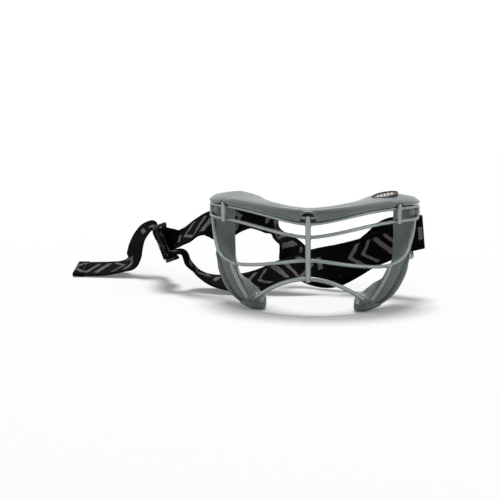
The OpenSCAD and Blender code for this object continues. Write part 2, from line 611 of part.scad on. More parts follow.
// Past the slider the tail gathers as it turns up, then arches over and down to the ground.
tail_rows = [
    row(on_slider(straight_low_u - 4.6, 0.1), slider_w, 0.9),
    row(on_slider(straight_low_u - 9.2, 1.2), -turned(162), 0.58),
    row(on_slider(straight_low_u - 12.6, 4.6), -turned(130), 0.44),
    row(on_slider(straight_low_u - 13.6, 9.6), -turned(98), 0.42),
    [-136.4, 112, 40.9, -0.22, 0.95, 0.12, 0.5], [-140.1, 111.9, 42.1, -0.12, 0.93, 0.33, 0.62],
    [-145.5, 111, 38.7, -0.41, 0.89, 0.2, 0.8], [-149.8, 110, 32.8, -0.5, 0.87, 0.05, 0.92],
    [-153.1, 110, 24.3, -0.56, 0.83, 0, 1], [-155, 110, 17.4, -0.6, 0.8, -0.05, 1],
    [-158.2, 110, 10.8, -0.56, 0.83, -0.04, 1], [-165.4, 110, 7.2, -0.42, 0.9, 0.06, 1],
    [-175.5, 110, 5.4, -0.28, 0.94, 0.18, 1], [-185.4, 110, 4.7, -0.24, 0.94, 0.22, 1],
    [-195.2, 110.1, 4.5, -0.22, 0.95, 0.22, 1]
];
hem_rows = [[-204.6, 110.2, 4.6, -0.21, 0.96, 0.2, 1]];
strap_steps = 3;
function full(rows) = [for (r = rows) len(r) == 7 ? r : concat(r, 1)];
strap_path = smooth(full(concat(leg_rows, return_rows, wrap_rows, cross_rows, turn_rows, inner_rows,
                           run_rows, tail_rows, hem_rows)), strap_steps);
// Where each piece of the strap begins, as a place in the path.
return_start = len(leg_rows) * strap_steps;
wrap_start = return_start + len(return_rows) * strap_steps;
cross_start = wrap_start + len(wrap_rows) * strap_steps;
turn_start = cross_start + len(cross_rows) * strap_steps;
inner_start = turn_start + len(turn_rows) * strap_steps;
run_start = inner_start + len(inner_rows) * strap_steps;
tail_start = run_start + len(run_rows) * strap_steps;
hem_start = tail_start + (len(tail_rows) - 1) * strap_steps;
strap_end = len(strap_path) - 1;

function xyz(v) = [v[0], v[1], v[2]];
// Four corners of a band at place k of a path of rows.
function band_ring(path, k, w, t) =
    let (last = len(path) - 1,
         d = unit(xyz(path[min(k + 1, last)]) - xyz(path[max(k - 1, 0)])),
         side = [path[k][3], path[k][4], path[k][5]],
         across = unit(side - (side * d) * d) * path[k][6], face = unit(cross(d, across)), c = xyz(path[k]))
    [c + across * w / 2 - face * t / 2, c + across * w / 2 + face * t / 2,
     c - across * w / 2 + face * t / 2, c - across * w / 2 - face * t / 2];
module strap_piece(first, last, t = strap_t) {
    color(strap_black)
    skin([for (k = [first:last]) band_ring(strap_path, k, strap_w, t)], split_side = 1);
}
module strap_lower_leg() { strap_piece(0, return_start); }
module strap_return_run() { strap_piece(return_start, wrap_start); }
module strap_right_wrap() { strap_piece(wrap_start, cross_start); }
module strap_cross_run() { strap_piece(cross_start, turn_start); }
module strap_back_turn() { strap_piece(turn_start, inner_start); }
module strap_inner_run() { strap_piece(inner_start, run_start); }
module strap_adjuster_run() { strap_piece(run_start, tail_start); }
module strap_tail() { strap_piece(tail_start, hem_start); }
module strap_tail_hem() { strap_piece(hem_start, strap_end, 2 * strap_t); }

// Sewn end: the strap folded round the slider's centre bar, both layers stitched together beside it.
module strap_sewn_end() {
    r = centre_bar_d / 2 + 0.2 + strap_t / 2;
    layer = strap_t / 2 + 0.05;
    eye = [for (a = [60:30:300]) [r * cos(a), r * sin(a)]];
    route = concat([[stub_u, layer], [slider_len / 4, layer]], eye,
                   [[slider_len / 4, -layer], [stub_u, -layer]]);
    path = [for (p = route) row(on_slider(p[0], 0, centre_bar_n + p[1]), slider_w)];
    color(strap_black)
    skin([for (k = [0:len(path) - 1]) band_ring(path, k, strap_w, strap_t)], split_side = 1);
}

brow_wire();
top_wire();
upper_wire();
middle_wire();
bottom_wire();
nose_bar();
left_corner_bar();
right_corner_bar();
left_cheek_wire();
right_cheek_wire();
left_strap_loop();
right_strap_loop();
brow_cover();
forehead_pad();
left_side_pad();
right_side_pad();
left_foot_pad();
right_foot_pad();
badge_plate();
badge_rim();
strap_adjuster_run();
strap_inner_run();
strap_back_turn();
strap_cross_run();
strap_right_wrap();
strap_return_run();
strap_lower_leg();
strap_tail();
strap_tail_hem();
strap_sewn_end();
slider();
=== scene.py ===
"""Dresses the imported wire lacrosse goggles: coated wires, moulded brow and pads, woven strap and slider."""

import math

import bmesh
import bpy
from mathutils import Matrix, Vector
from mathutils.bvhtree import BVHTree


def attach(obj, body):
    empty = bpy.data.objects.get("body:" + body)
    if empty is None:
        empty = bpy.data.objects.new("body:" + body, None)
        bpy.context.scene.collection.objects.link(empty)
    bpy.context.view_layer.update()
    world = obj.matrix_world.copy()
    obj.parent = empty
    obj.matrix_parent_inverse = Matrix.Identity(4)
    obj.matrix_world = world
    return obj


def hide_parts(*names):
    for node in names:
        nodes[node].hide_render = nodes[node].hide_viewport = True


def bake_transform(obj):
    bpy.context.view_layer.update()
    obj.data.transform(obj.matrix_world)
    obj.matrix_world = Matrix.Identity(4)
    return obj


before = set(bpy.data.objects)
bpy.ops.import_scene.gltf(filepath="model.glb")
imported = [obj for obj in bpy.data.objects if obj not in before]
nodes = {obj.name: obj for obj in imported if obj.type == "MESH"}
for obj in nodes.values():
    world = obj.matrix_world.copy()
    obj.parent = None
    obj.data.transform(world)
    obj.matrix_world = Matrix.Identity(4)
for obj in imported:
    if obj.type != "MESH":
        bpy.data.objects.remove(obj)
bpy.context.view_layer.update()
scene = bpy.context.scene
scene.view_settings.view_transform = "Standard"
MM = 0.001


def mm(x, y, z):
    """A point or size given in millimetres, in metres."""
    return Vector((x, y, z)) * MM


# Camera: the photograph's viewpoint. The part's origin is seen at one pixel of the 500 x 500 frame.
IMAGE_PX = 500
FOCAL_PX = 1596
SENSOR_MM = 36
CAMERA_DISTANCE = 1.2
ORIGIN_PX = (310, 309)
AZIMUTH, ELEVATION, ROLL = (math.radians(a) for a in (6.8, 11, -0.35))


def make_camera():
    flat = math.cos(ELEVATION)
    back = Vector((math.sin(AZIMUTH) * flat, -math.cos(AZIMUTH) * flat, math.sin(ELEVATION)))
    level = Vector((math.cos(AZIMUTH), math.sin(AZIMUTH), 0))
    upright = back.cross(level)
    right = math.cos(ROLL) * level + math.sin(ROLL) * upright
    up = math.cos(ROLL) * upright - math.sin(ROLL) * level
    per_px = CAMERA_DISTANCE / FOCAL_PX
    place = back * CAMERA_DISTANCE
    place -= right * (ORIGIN_PX[0] - IMAGE_PX / 2) * per_px
    place -= up * (IMAGE_PX / 2 - ORIGIN_PX[1]) * per_px
    data = bpy.data.cameras.new("photo_camera")
    data.sensor_width = SENSOR_MM
    data.lens = FOCAL_PX * SENSOR_MM / IMAGE_PX
    data.clip_start = 0.01
    data.clip_end = 100
    camera = bpy.data.objects.new("photo_camera", data)
    camera.matrix_world = Matrix.Translation(place) @ Matrix((right, up, back)).transposed().to_4x4()
    scene.collection.objects.link(camera)
    scene.camera = camera


make_camera()


# Materials.
def paint(code):
    """An sRGB hex colour as linear red, green, blue and alpha."""
    channels = [int(code[i : i + 2], 16) / 255 for i in (1, 3, 5)]
    return [c / 12.92 if c <= 0.04045 else ((c + 0.055) / 1.055) ** 2.4 for c in channels] + [1]


def add(tree, kind, inputs=None, **settings):
    """Adds a node; its inputs are given a value or another node's output."""
    node = tree.nodes.new(kind)
    for name, value in settings.items():
        setattr(node, name, value)
    for name, value in (inputs or {}).items():
        if isinstance(value, bpy.types.NodeSocket):
            tree.links.new(value, node.inputs[name])
        else:
            node.inputs[name].default_value = value
    return node


def across_mm(size):
    """Scale of a pattern on metre coordinates whose features are this many millimetres wide."""
    return 1 / (size * MM)


def start_finish(name, sockets=None):
    """A new material, its node tree and its shader, with the shader's own sockets set."""
    material = bpy.data.materials.new(name)
    material.use_nodes = True
    shader = material.node_tree.nodes["Principled BSDF"]
    for label, value in (sockets or {}).items():
        shader.inputs[label].default_value = value
    return material, material.node_tree, shader


# A Mix node of colours has its factor at input 0, the two colours at 6 and 7, and its result at output 2.
def mottled(tree, shader, light, dark, patch_mm, rough, grain_mm, relief_mm):
    """Two close shades in soft patches, roughness that varies with them, and a fine surface grain."""
    place = add(tree, "ShaderNodeTexCoord").outputs["Object"]
    patch = add(
        tree, "ShaderNodeTexNoise", {"Vector": place, "Scale": across_mm(patch_mm), "Detail": 4.0}
    ).outputs["Fac"]
    shade = add(tree, "ShaderNodeMix", {0: patch, 6: paint(light), 7: paint(dark)}, data_type="RGBA")
    tree.links.new(shade.outputs[2], shader.inputs["Base Color"])
    gloss = add(tree, "ShaderNodeMapRange", {"Value": patch, "To Min": rough[0], "To Max": rough[1]})
    tree.links.new(gloss.outputs["Result"], shader.inputs["Roughness"])
    grain = add(
        tree, "ShaderNodeTexNoise", {"Vector": place, "Scale": across_mm(grain_mm), "Detail": 2.0}
    ).outputs["Fac"]
    relief = add(tree, "ShaderNodeBump", {"Height": grain, "Strength": 1.0, "Distance": relief_mm * MM})
    tree.links.new(relief.outputs["Normal"], shader.inputs["Normal"])


def powder_coated_steel():
    # Steel wire under a silver-grey metallic coat: satin, bright where it faces the eye and darker at its
    # edges, a darkening that is partly the coat's metallic flop and partly painted shade.
    material, tree, shader = start_finish(
        "powder_coated_steel_wire", {"Metallic": 0.6, "Coat Weight": 0.4}
    )
    mottled(
        tree, shader, "#B4BFBC", "#9BA7A4", patch_mm=9, rough=(0.22, 0.34), grain_mm=3, relief_mm=0.01
    )
    shade = shader.inputs["Base Color"].links[0].from_socket
    # Painted shade: the colour turns dark towards grazing angles, which draws a dark outline along each wire.
    edge = add(tree, "ShaderNodeLayerWeight", {"Blend": 0.35}).outputs["Facing"]
    flop_and_painted_edge_shade = add(tree, "ShaderNodeMix", {0: edge, 6: shade, 7: paint("#3F4847")}, data_type="RGBA")
    tree.links.new(flop_and_painted_edge_shade.outputs[2], shader.inputs["Base Color"])
    return material


def moulded_elastomer():
    # Injection-moulded thermoplastic elastomer: satin, with the fine texture of a spark-eroded mould.
    material, tree, shader = start_finish(
        "moulded_grey_elastomer", {"Coat Weight": 0.1, "Specular IOR Level": 0.4}
    )
    mottled(
        tree, shader, "#808A87", "#6E7976", patch_mm=14, rough=(0.26, 0.4), grain_mm=0.6, relief_mm=0.02
    )
    return material


def skinned_foam():
    # Moulded foam padding with a soft closed skin: a little darker and duller than the brow.
    material, tree, shader = start_finish("skinned_foam_padding", {"Coat Weight": 0.12})
    mottled(
        tree, shader, "#7A8583", "#65706E", patch_mm=11, rough=(0.36, 0.5), grain_mm=0.7, relief_mm=0.03
    )
    return material


# The strap's generic print, in strap widths: where it repeats, and how far its edges wander. Each stroke has
# its place along the strap, its slope, whether both halves mirror, its half width, and its reach from the
# middle.
PRINT_REPEAT = 3.4
PRINT_WANDER = (0.09, 0.09, 0)
STROKES = (
    (0.30, 0.95, True, 0.085, 0.37),
    (0.72, 0.95, True, 0.06, 0.37),
    (1.45, -0.55, False, 0.09, 0.34),
    (1.80, -0.55, False, 0.06, 0.34),
    (2.45, -1.05, True, 0.085, 0.38),
    (2.72, 0.0, False, 0.07, 0.20),
)


def printed_strokes(tree, uv):
    """Where the strap carries its print of slanted strokes and chevrons: 1 inside a stroke and 0 outside."""
    wobble = add(tree, "ShaderNodeTexNoise", {"Vector": uv, "Scale": 5.0, "Detail": 2.0}).outputs["Color"]
    shift = add(
        tree, "ShaderNodeVectorMath", {0: wobble, 1: (0.5, 0.5, 0.5)}, operation="SUBTRACT"
    ).outputs[0]
    moved = add(
        tree, "ShaderNodeVectorMath", {0: shift, 1: PRINT_WANDER, 2: uv}, operation="MULTIPLY_ADD"
    ).outputs[0]
    part = add(tree, "ShaderNodeSeparateXYZ", {0: moved}).outputs
    across = add(tree, "ShaderNodeMath", {0: part["X"], 1: 0.5}, operation="SUBTRACT").outputs[0]
    folded = add(tree, "ShaderNodeMath", {0: across}, operation="ABSOLUTE").outputs[0]
    along = add(
        tree, "ShaderNodeMath", {0: part["Y"], 1: PRINT_REPEAT, 2: 0.0}, operation="WRAP"
    ).outputs[0]
    printed = 0.0
    for start, slope, mirrored, half_width, reach in STROKES:
        half = folded if mirrored else across
        lean = add(
            tree, "ShaderNodeMath", {0: half, 1: slope, 2: start}, operation="MULTIPLY_ADD"
        ).outputs[0]
        off = add(tree, "ShaderNodeMath", {0: along, 1: lean}, operation="SUBTRACT").outputs[0]
        inside = add(
            tree, "ShaderNodeMath", {0: off, 1: 0.0, 2: half_width}, operation="COMPARE"
        ).outputs[0]
        within = add(tree, "ShaderNodeMath", {0: folded, 1: reach}, operation="LESS_THAN").outputs[0]
        stroke = add(tree, "ShaderNodeMath", {0: inside, 1: within}, operation="MULTIPLY").outputs[0]
        printed = add(tree, "ShaderNodeMath", {0: printed, 1: stroke}, operation="MAXIMUM").outputs[0]
    return printed


# The ribs and picks are about 0.6 mm apart on the real strap and are drawn about twice as coarse, to show.
STRAP_WIDTH = 25
RIB_MM = 1.25
PICK_MM = 1.0
WEAVE_RELIEF_MM = 0.1


def woven_elastic():
    # Woven polyester and rubber elastic: matt black with a ribbed weave and a dark grey print.
    material, tree, shader = start_finish(
        "woven_printed_elastic", {"Roughness": 0.8, "Specular IOR Level": 0.03}
    )
    uv = add(tree, "ShaderNodeUVMap", uv_map="UVMap").outputs["UV"]
    printed = printed_strokes(tree, uv)
    part = add(tree, "ShaderNodeSeparateXYZ", {0: uv}).outputs
    waves = []
    for axis, spacing in (("X", RIB_MM), ("Y", PICK_MM)):
        turns = 2 * math.pi * STRAP_WIDTH / spacing
        phase = add(tree, "ShaderNodeMath", {0: part[axis], 1: turns}, operation="MULTIPLY").outputs[0]
        waves.append(add(tree, "ShaderNodeMath", {0: phase}, operation="COSINE").outputs[0])
    rib, pick = waves
    weave = add(tree, "ShaderNodeMath", {0: rib, 1: pick}, operation="MULTIPLY").outputs[0]
    height = add(tree, "ShaderNodeMath", {0: weave, 1: 0.5, 2: rib}, operation="MULTIPLY_ADD").outputs[0]
    relief = add(
        tree, "ShaderNodeBump", {"Height": height, "Strength": 1.0, "Distance": WEAVE_RELIEF_MM * MM}
    )
    tree.links.new(relief.outputs["Normal"], shader.inputs["Normal"])
    fibre = add(tree, "ShaderNodeTexNoise", {"Vector": uv, "Scale": 12.0, "Detail": 3.0}).outputs["Fac"]
    yarn = add(
        tree, "ShaderNodeMix", {0: fibre, 6: paint("#08080A"), 7: paint("#101114")}, data_type="RGBA"
    ).outputs[2]
    # Painted shade: the print is darker in the hollows of the weave, where ribs and picks dip.
    painted_weave_shade = add(
        tree, "ShaderNodeMapRange", {"Value": weave, "From Min": -1.0, "To Min": 0.55, "To Max": 1.0}
    ).outputs["Result"]
    ink = add(tree, "ShaderNodeMath", {0: printed, 1: painted_weave_shade}, operation="MULTIPLY").outputs[0]
    colour = add(tree, "ShaderNodeMix", {0: ink, 6: yarn, 7: paint("#827F7D")}, data_type="RGBA")
    tree.links.new(colour.outputs[2], shader.inputs["Base Color"])
    return material


def moulded_nylon():
    # Injection-moulded black nylon: smooth, with light scuffs that dull it in patches.
    material, tree, shader = start_finish("moulded_black_nylon", {"Specular IOR Level": 0.4})
    mottled(
        tree, shader, "#232527", "#17181A", patch_mm=3, rough=(0.3, 0.5), grain_mm=0.5, relief_mm=0.02
    )
    return material


def sewing_thread():
    # Twisted bonded nylon thread: black with a slight sheen.
    material, tree, shader = start_finish("bonded_nylon_thread", {"Sheen Weight": 0.2})
    mottled(
        tree, shader, "#2A2A2D", "#1B1B1E", patch_mm=1, rough=(0.5, 0.7), grain_mm=0.3, relief_mm=0.03
    )
    return material


def badge_enamel():
    # Enamel field of the badge: glossy and black.
    material, tree, shader = start_finish("black_badge_enamel", {"Coat Weight": 0.5})
    mottled(
        tree, shader, "#141615", "#0D0F0E", patch_mm=4, rough=(0.2, 0.3), grain_mm=0.8, relief_mm=0.01
    )
    return material


def badge_print():
    # Screen-printed ink on the badge: cream and slightly dull.
    material, tree, shader = start_finish("cream_badge_print")
    mottled(
        tree, shader, "#E2DDCB", "#CBC7B6", patch_mm=2, rough=(0.4, 0.5), grain_mm=0.5, relief_mm=0.01
    )
    return material


def badge_moulding():
    # Injection-moulded rim round the badge: nearly black, satin, a shade lighter than the field.
    material, tree, shader = start_finish("moulded_badge_rim")
    mottled(
        tree, shader, "#1E2221", "#151817", patch_mm=4, rough=(0.3, 0.4), grain_mm=0.5, relief_mm=0.01
    )
    return material


COAT = powder_coated_steel()
ELASTOMER = moulded_elastomer()
FOAM = skinned_foam()
ELASTIC = woven_elastic()
NYLON = moulded_nylon()
THREAD = sewing_thread()


# Making pieces.
def piece(name, bm, material, body, replaced=()):
    """Turns a bmesh into a smooth-shaded piece that rides on a body and stands for its CAD nodes."""
    mesh = bpy.data.meshes.new(name)
    bm.to_mesh(mesh)
    bm.free()
    mesh.polygons.foreach_set("use_smooth", [True] * len(mesh.polygons))
    mesh.materials.append(material)
    made = bpy.data.objects.new(name, mesh)
    scene.collection.objects.link(made)
    if body:
        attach(made, body)
    if replaced:
        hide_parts(*replaced)
    return made


def merged_copy(node):
    """A CAD node's solid as one closed mesh of mostly four-sided faces."""
    bm = bmesh.new()
    bm.from_mesh(nodes[node].data)
    bmesh.ops.remove_doubles(bm, verts=bm.verts, dist=0.002 * MM)
    bmesh.ops.join_triangles(
        bm,
        faces=bm.faces,
        angle_face_threshold=math.radians(40),
        angle_shape_threshold=math.radians(180),
    )
    return bm


def sharper_than(bm, degrees):
    """The edges at which the faces on both sides meet at more than this angle."""
    return [e for e in bm.edges if e.is_manifold and e.calc_face_angle(0) > math.radians(degrees)]


def rounded(node, name, material, sharp=None, crease=0.5):
    """The node's own shape with its facets smoothed; edges sharper than an angle stay partly sharp."""
    bm = merged_copy(node)
    if sharp:
        layer = bm.edges.layers.float.get("crease_edge") or bm.edges.layers.float.new("crease_edge")
        for edge in sharper_than(bm, sharp):
            edge[layer] = crease
    made = piece(name, bm, material, "frame", [node])
    subdivide = made.modifiers.new("subdivide", "SUBSURF")
    subdivide.levels = subdivide.render_levels = 2
    return made


def softened(node, name, material, width, body="frame"):
    """The node's own shape with its hard edges rounded off by a width in millimetres."""
    bm = merged_copy(node)
    bmesh.ops.bevel(
        bm,
        geom=sharper_than(bm, 30),
        offset=width * MM,
        segments=3,
        profile=0.5,
        affect="EDGES",
        material=-1,
        clamp_overlap=True,
    )
    return piece(name, bm, material, body, [node])


def drawn_on(bm, line, edges):
    """Extrudes a line of edges; gives the new points, in the old ones' order, and the new edges."""
    out = bmesh.ops.extrude_edge_only(bm, edges=edges)
    fresh = [v for v in out["geom"] if isinstance(v, bmesh.types.BMVert)]
    fresh.sort(key=lambda v: min((v.co - old.co).length * 1e6 + i for i, old in enumerate(line)))
    return fresh, [e for e in out["geom"] if isinstance(e, bmesh.types.BMEdge)]


def drawn_through(bm, rings):
    """A closed solid through rings of points, drawn on from the first to the last and closed at both."""
    line = [bm.verts.new(p) for p in rings[0]]
    edges = [bm.edges.new(pair) for pair in zip(line, line[1:] + line[:1])]
    bm.faces.new(line)
    for ring in rings[1:]:
        line, edges = drawn_on(bm, line, edges)
        for vert, place in zip(line, ring):
            vert.co = place
    bm.faces.new(line)


def smooth_rows(rows, steps):
    """Rows of numbers along a smooth curve through the given rows."""
    out = []
    last = len(rows) - 1
    for i in range(last):
        a, b, c, d = (rows[min(max(k, 0), last)] for k in (i - 1, i, i + 1, i + 2))
        for k in range(steps):
            t = k / steps
            between = []
            for p, q, r, s in zip(a, b, c, d):
                bend = (2 * p - 5 * q + 4 * r - s) * t * t
                twist = (3 * q - p - 3 * r + s) * t ** 3
                between.append(0.5 * (2 * q + (r - p) * t + bend + twist))
            out.append(between)
    return out + [list(rows[-1])]


# Wires, brow, feet and forehead pad: the CAD shapes with their facets smoothed.
for wire in ("brow_wire", "top_wire", "upper_wire", "middle_wire", "bottom_wire"):
    rounded(wire, wire + "_coated", COAT)
for side in ("left", "right"):
    rounded(side + "_cheek_wire", side + "_cheek_wire_coated", COAT)
    rounded(side + "_strap_loop", side + "_strap_loop_coated", COAT)
    foot = rounded(side + "_foot_pad", side + "_foot_moulded", FOAM, sharp=50, crease=0.3)
rounded("brow_cover", "brow_cover_moulded", ELASTOMER, sharp=38, crease=0.5)
forehead = rounded("forehead_pad", "forehead_pad_moulded", FOAM, sharp=40, crease=0.35)

for bar in ("nose_bar", "left_corner_bar", "right_corner_bar"):
    softened(bar, bar + "_coated", COAT, 0.4)


# Places on the wire frame are given as arc length s from the nose, distance r outside the wires and height
# z, in millimetres. The frame is one arc across the face and a tighter one round each temple.
FRONT_R = 97
TEMPLE_R = 42
CORNER_X = 66
FRONT_REACH = 15.5
CORNER_TURN = math.asin(CORNER_X / FRONT_R)
CORNER_S = FRONT_R * CORNER_TURN
CORNER_Y = FRONT_R * (1 - math.cos(CORNER_TURN)) - FRONT_REACH


def at(s, r, z):
    """The point in metres, and the frame's turn there."""
    if abs(s) > CORNER_S:
        turn = CORNER_TURN + (abs(s) - CORNER_S) / TEMPLE_R
        x = CORNER_X + TEMPLE_R * (math.sin(turn) - math.sin(CORNER_TURN))
        y = CORNER_Y + TEMPLE_R * (math.cos(CORNER_TURN) - math.cos(turn))
    else:
        turn = abs(s) / FRONT_R
        x = FRONT_R * math.sin(turn)
        y = FRONT_R * (1 - math.cos(turn)) - FRONT_REACH
    side = -1 if s < 0 else 1
    return mm(side * (x + r * math.sin(turn)), y - r * math.cos(turn), z), side * turn


# Side pads: one level to a row, from the foot to the brow. Each has its outer, front and inner edge, then
# the rear edges behind the outer and the inner one, as arc length, distance outside the wires and height.
PAD_ROWS = [
    [(55, -0.5, 3.6), (47.5, -1.2, 8.3), (42, -11.5, 10.4), (52, -8.5, 6.8), (44.5, -11, 9.6)],
    [(66, 0, 9.5), (50, -2, 10.5), (46, -13.5, 12.6), (63, -9, 12), (50.5, -13, 12.3)],
    [(72.5, 0, 15), (53, -2, 15), (53, -14, 16), (70, -9.5, 17.5), (58, -13.5, 16)],
    [(77.5, 0, 21), (57, -2, 21.5), (60, -15, 18.5), (76, -9.5, 23), (65, -14.5, 19.5)],
    [(82, -0.2, 27), (60.5, -2, 27), (69.5, -16, 20.5), (81, -9, 28.5), (74.5, -15.5, 22)],
    [(85, -1, 32), (64.5, -2, 32), (82.5, -18, 26), (86.5, -7, 33.5), (87, -17.5, 27.5)],
    [(87.5, -1.4, 37), (76, -2.2, 36.5), (91, -18, 33), (91, -4.5, 37.5), (95, -17.5, 34)],
    [(89.7, -2.2, 43), (84, -2.4, 43), (93.5, -18, 43), (94.5, -3, 43.5), (98.5, -17.5, 43)],
    [(90.5, -2.4, 52), (88.5, -2.8, 52), (95, -18, 51), (96, -3, 52), (100.4, -17.5, 51)],
    [(94, -2.4, 61), (89.5, -3.3, 61), (94.5, -18, 61), (98.5, -3.5, 61), (100, -17.5, 61)],
    [(102.3, -2.3, 65.6), (89.5, -3.3, 65.6), (94, -18, 65.6), (103.5, -6, 65.6), (99.4, -17.5, 65.6)],
    [(100.8, 0.4, 69.6), (89.5, -3.3, 69.6), (94, -18, 69.6), (103.5, -5, 69.6), (99.4, -17.5, 69.6)],
    [(103, -2.2, 72.8), (89.5, -3.3, 72.8), (94, -18, 72.8), (104, -6, 72.8), (99.4, -17.5, 72.8)],
]
# The front strip's profile, from its front edge to the rim: share of the way, and the height of its bead or
# the depth of its groove.
FRONT_PROFILE = (
    (0, -0.3), (0.05, 0.1), (0.14, 0.35), (0.3, 0.45), (0.46, 0.4),
    (0.58, 0.35), (0.64, 0.2), (0.67, -0.9), (0.7, -1.6), (0.73, -1.5),
    (0.76, -0.3), (0.8, 0.6), (0.86, 1), (0.92, 0.8), (0.975, 0.25),
)
# The inner face's profile, from its inner edge to the front edge: share of the way, and share drawn to the
# rear.
INNER_PROFILE = (
    (0.06, 0), (0.12, -0.02), (0.18, 0.02), (0.22, 0.1), (0.3, 0.13),
    (0.5, 0.14), (0.7, 0.12), (0.86, 0.06), (0.95, 0.02),
)
# A front strip narrower than this has a shallower bead and groove.
FULL_BEAD_WIDTH = 12
OUTER_BULGE = Vector((0.5, 0, 0))
PAD_STEPS = 6


def pad_level(side, level):
    """The points of one level of a side pad, in order round it."""
    outer, front, inner, rear_outer, rear_inner = (Vector(level[i : i + 3]) for i in range(0, 15, 3))
    rear = (rear_outer + rear_inner) / 2
    depth = min(1, abs(outer[0] - front[0]) / FULL_BEAD_WIDTH)
    ring = [front.lerp(outer, t) + Vector((0, lift * depth, 0)) for t, lift in FRONT_PROFILE]
    ring += [outer, outer.lerp(rear_outer, 0.5) + OUTER_BULGE, outer.lerp(rear_outer, 0.9)]
    ring += [rear_outer.lerp(rear_inner, t) for t in (0.1, 0.5, 0.9)]
    ring += [rear_inner.lerp(inner, t) for t in (0.2, 0.8)]
    ring += [inner.lerp(front, t).lerp(rear, sunk) for t, sunk in INNER_PROFILE]
    return [at(side * p[0], p[1], p[2])[0] for p in ring]


def side_pad(name, side, node):
    """One side pad, drawn level by level from the foot to the brow."""
    bm = bmesh.new()
    rows = [[v for point in row for v in point] for row in PAD_ROWS]
    drawn_through(bm, [pad_level(side, level) for level in smooth_rows(rows, PAD_STEPS)])
    bmesh.ops.recalc_face_normals(bm, faces=bm.faces)
    made = piece(name, bm, FOAM, "frame", [node])


side_pad("left_side_pad_moulded", -1, "left_side_pad")
side_pad("right_side_pad_moulded", 1, "right_side_pad")


def swell(bm, s, r, z, size, segments, rings):
    """A rounded lump at a place on the frame, with its half sizes along, through and up in millimetres."""
    place, turn = at(s, r, z)
    lie = Matrix.Translation(place) @ Matrix.Rotation(turn, 4, "Z")
    shape = lie @ Matrix.Diagonal((*mm(*size), 1))
    bmesh.ops.create_uvsphere(bm, u_segments=segments, v_segments=rings, radius=1, matrix=shape)


def weld_beads():
    """Small fillets of weld metal under the coat where a bar crosses a wire."""
    bm = bmesh.new()
    nose = [(0, 1.5, z) for z in (26.4, 40.4, 57.5, 67.5)]
    corners = [(side * 71.6, 1.4, z) for side in (-1, 1) for z in (66.4, 76)]
    cheeks = [(side * 62.1, 1.5, 33.3) for side in (-1, 1)]
    for s, r, z in nose + corners + cheeks:
        swell(bm, s, r, z, (3.1, 1.1, 2), 20, 12)
    piece("weld_beads", bm, COAT, "frame")


weld_beads()


TOP_WIRE_MID_Z = 67.5
TOP_WIRE_SIDE_Z = 76
# The wire reaches its full height at this share of the way to the corner.
TOP_WIRE_RISE_END = 0.86


def top_wire_z(s):
    """Height of the top wire along the frame."""
    way = min(abs(s) / (CORNER_S * TOP_WIRE_RISE_END), 1)
    return TOP_WIRE_MID_Z + (TOP_WIRE_SIDE_Z - TOP_WIRE_MID_Z) * math.sin(math.pi / 2 * way) ** 1.5


ROD_SIDES = 10


def rod(bm, points, radii):
    """A round rod along points in metres, with its radius at each in millimetres."""
    rings = []
    last = len(points) - 1
    for k, point in enumerate(points):
        along = (points[min(k + 1, last)] - points[max(k - 1, 0)]).normalized()
        across = along.cross(Vector((0, 0, 1))).normalized()
        up = across.cross(along)
        turns = [2 * math.pi * j / ROD_SIDES for j in range(ROD_SIDES)]
        rings.append([point + radii[k] * MM * (math.cos(a) * across + math.sin(a) * up) for a in turns])
    drawn_through(bm, rings)


# The lip's places along the brow, its radius, how high it runs over the top wire and how deep it is sunk in.
LIP_START_S = 8
LIP_STEP = 1.75
LIP_POINTS = 33
LIP_R = 0.95
LIP_OVER_WIRE = 3
LIP_SUNK = 0.3
# Its places are found on the brow's face by a ray that starts this far outside the wires.
RAY_START_R = 20


def brow_lips():
    """The rolled lip along the lower edge of the brow's front, on each side of the nose."""
    solid = merged_copy("brow_cover")
    surface = BVHTree.FromBMesh(solid)
    solid.free()
    bm = bmesh.new()
    for side in (-1, 1):
        points = []
        radii = []
        for k in range(LIP_POINTS):
            s = side * (LIP_START_S + k * LIP_STEP)
            start, turn = at(s, RAY_START_R, top_wire_z(s) + LIP_OVER_WIRE)
            inward = Vector((-math.sin(turn), math.cos(turn), 0))
            points.append(surface.ray_cast(start, inward)[0] + inward * LIP_SUNK * MM)
            radii.append(LIP_R * min(1, (k + 1) / 4, (LIP_POINTS - k) / 10))
        rod(bm, points, radii)
    bmesh.ops.recalc_face_normals(bm, faces=bm.faces)
    piece("brow_lips", bm, ELASTOMER, "frame")


brow_lips()


def wire_boots():
    """Moulded bosses on the feet, where the bottom wire and the cheek wires go in."""
    bm = bmesh.new()
    for side in (-1, 1):
        swell(bm, side * 42.4, 0, 8, (4, 2.9, 2.6), 24, 14)
        swell(bm, side * 47.6, 0.4, 7.4, (2.8, 2.6, 2.4), 24, 14)
    piece("wire_boots", bm, FOAM, "frame")


wire_boots()


# Slider: its middle, and its directions along the strap, across it and through it.
SLIDER_AT = Vector((-121.6, 78, 34.6))
SLIDER_U = Vector((0.3, -0.93, 0.2)).normalized()
SLIDER_W = SLIDER_U.cross(Vector((-0.35, 0.05, 0.93))).cross(SLIDER_U).normalized()
SLIDER_N = SLIDER_U.cross(SLIDER_W)


def on_slider(u, w=0, n=0):
    """A point given in the slider's directions."""
    return SLIDER_AT + u * SLIDER_U + w * SLIDER_W + n * SLIDER_N


def turned(degrees):
    """The direction across the slider, turned towards the one along it."""
    return math.cos(math.radians(degrees)) * SLIDER_W + math.sin(math.radians(degrees)) * SLIDER_U


# Strap: its thickness, where its lower leg starts on the slider, where its straight run ends, and the middle
# of the right loop's rear bar.
STRAP_T = 1.5
LEG_START = 9.3
LEG_N = 5.3
STRAIGHT_LOW = -22
LOOP_BAR_AT = (74.441, 49.776, 52.25)


def row(point, side, share=1):
    """A row whose point and direction are vectors."""
    return (*point, *side, share)


def by_bar(side, rows):
    """Rows beside a strap loop, given from the middle of its rear bar."""
    x, y, z = LOOP_BAR_AT
    return [(x * side + r[0], y + r[1], z + r[2], *r[3:]) for r in rows]


